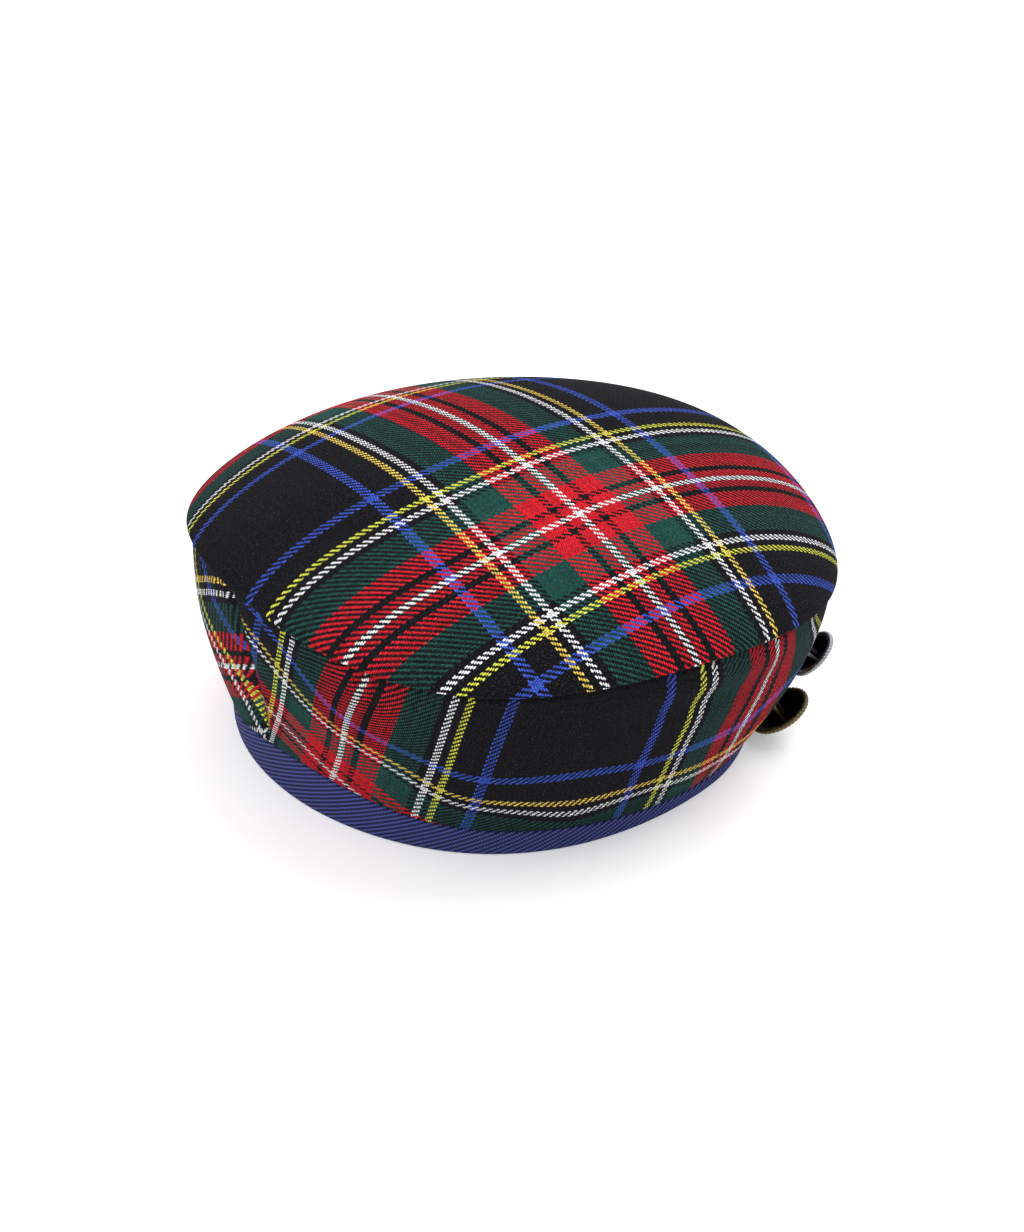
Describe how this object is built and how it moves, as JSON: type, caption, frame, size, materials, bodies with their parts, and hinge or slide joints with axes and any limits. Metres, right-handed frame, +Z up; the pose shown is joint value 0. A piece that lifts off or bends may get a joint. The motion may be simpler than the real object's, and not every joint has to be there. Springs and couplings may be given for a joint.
{
  "type": "tam o shanter",
  "caption": "Round soft cap with a domed tartan crown, narrowing side wall, bound rim and shank buttons at one side.",
  "frame": {"origin": "on the resting face, under the middle of the whole cap's box", "axes": "+Z up, -Y the front that the picture looks at, +X the side with the buttons"},
  "size_m": [0.2104, 0.199, 0.1029],
  "materials": {
    "tartan_crown": "matt wool twill, woven tartan of black, green, red, blue, white and yellow",
    "tartan_wall": "matt wool twill, the same tartan cut on its own grain",
    "blue_twill": "matt cotton twill binding with fine diagonal lines",
    "silver_metal": "worn bright edge, dark hollow back",
    "old_brass": "darkened, with a worn gilt edge"
  },
  "bodies": {
    "root": {"crown_top": "tartan_crown", "side_panel_front": "tartan_wall", "side_panel_back": "tartan_wall", "headband": "blue_twill", "button_silver": "silver_metal", "button_brass": "old_brass"}
  },
  "joints": []
}
